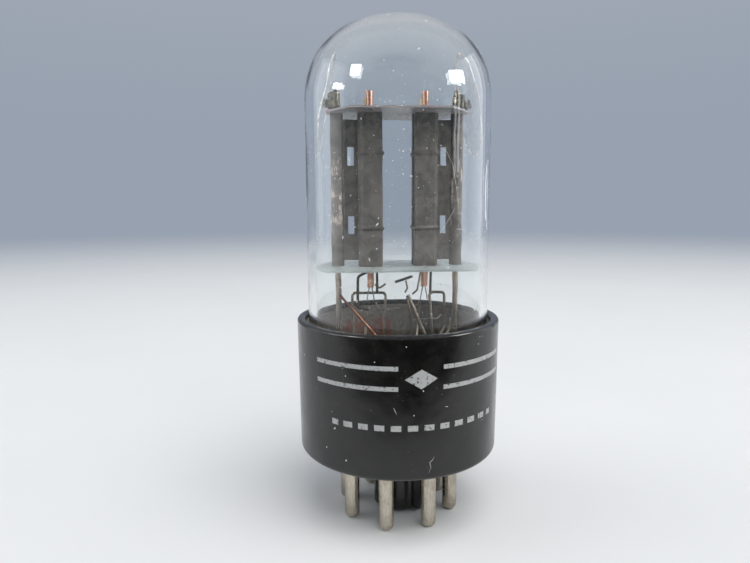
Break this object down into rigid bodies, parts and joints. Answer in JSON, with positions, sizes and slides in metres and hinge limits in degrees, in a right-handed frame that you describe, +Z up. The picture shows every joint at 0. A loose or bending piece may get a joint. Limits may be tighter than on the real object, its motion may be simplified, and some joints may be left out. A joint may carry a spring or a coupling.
{
  "type": "vacuum tube",
  "caption": "Octal-base dual triode: clear domed glass bulb with twin plate columns between micas, on a black keyed pin base.",
  "frame": {"origin": "on the tube's axis, level with the pin tips", "axes": "+Z up the axis, from the pins to the top of the bulb; +X through the right-hand triode unit, so the front of the cage faces -Y"},
  "size_m": [0.0322, 0.0322, 0.078],
  "materials": {
    "base_moulding": "semi-gloss moulded phenolic",
    "basing_cement": "matt, granular",
    "glass": "clear, fire polished",
    "stem_glass": "clear lead glass",
    "pin_metal": "nickel plated, dulled",
    "solder": "dull tin-lead",
    "mica": "sheet mica, milky",
    "ear_mica": "thin clear mica",
    "plate": "carbonised nickel, matt grey",
    "nickel_wire": "nickel, lightly oxidised",
    "copper_wire": "copper, dull",
    "cathode": "copper-coloured sleeve",
    "heater": "white coated tungsten",
    "grid_metal": "dark nickel",
    "getter_metal": "dark fired nickel"
  },
  "bodies": {
    "root": {"base_shell": "base_moulding", "basing_cement": "basing_cement", "glass_bulb": "glass", "glass_stem": "stem_glass", "pin_1": "pin_metal", "pin_2": "pin_metal", "pin_3": "pin_metal", "pin_4": "pin_metal", "pin_5": "pin_metal", "pin_6": "pin_metal", "pin_7": "pin_metal", "pin_8": "pin_metal", "pin_solder": "solder", "top_mica": "mica", "bottom_mica": "mica", "left_mica_ear": "ear_mica", "right_mica_ear": "ear_mica", "left_plate_front": "plate", "left_plate_back": "plate", "right_plate_front": "plate", "right_plate_back": "plate", "left_support_rod": "nickel_wire", "right_support_rod": "nickel_wire", "rod_collars": "nickel_wire", "left_ear_clip": "nickel_wire", "right_ear_clip": "nickel_wire", "cathode_ribbons": "nickel_wire", "lead_grid_1": "nickel_wire", "lead_grid_2": "nickel_wire", "lead_plate_2": "nickel_wire", "lead_cathode_1": "nickel_wire", "lead_cathode_2": "nickel_wire", "lead_heater_a": "nickel_wire", "lead_heater_b": "nickel_wire", "left_cathode_tab": "nickel_wire", "right_cathode_wire": "nickel_wire", "heater_link_a": "nickel_wire", "heater_link_b": "nickel_wire", "getter_wire": "nickel_wire", "lead_plate_1": "copper_wire", "left_cathode": "cathode", "right_cathode": "cathode", "left_heater": "heater", "right_heater": "heater", "left_grid_rods": "grid_metal", "right_grid_rods": "grid_metal", "left_grid_winding": "grid_metal", "right_grid_winding": "grid_metal", "left_cathode_wire": "grid_metal", "getter_strip": "getter_metal"}
  },
  "joints": []
}
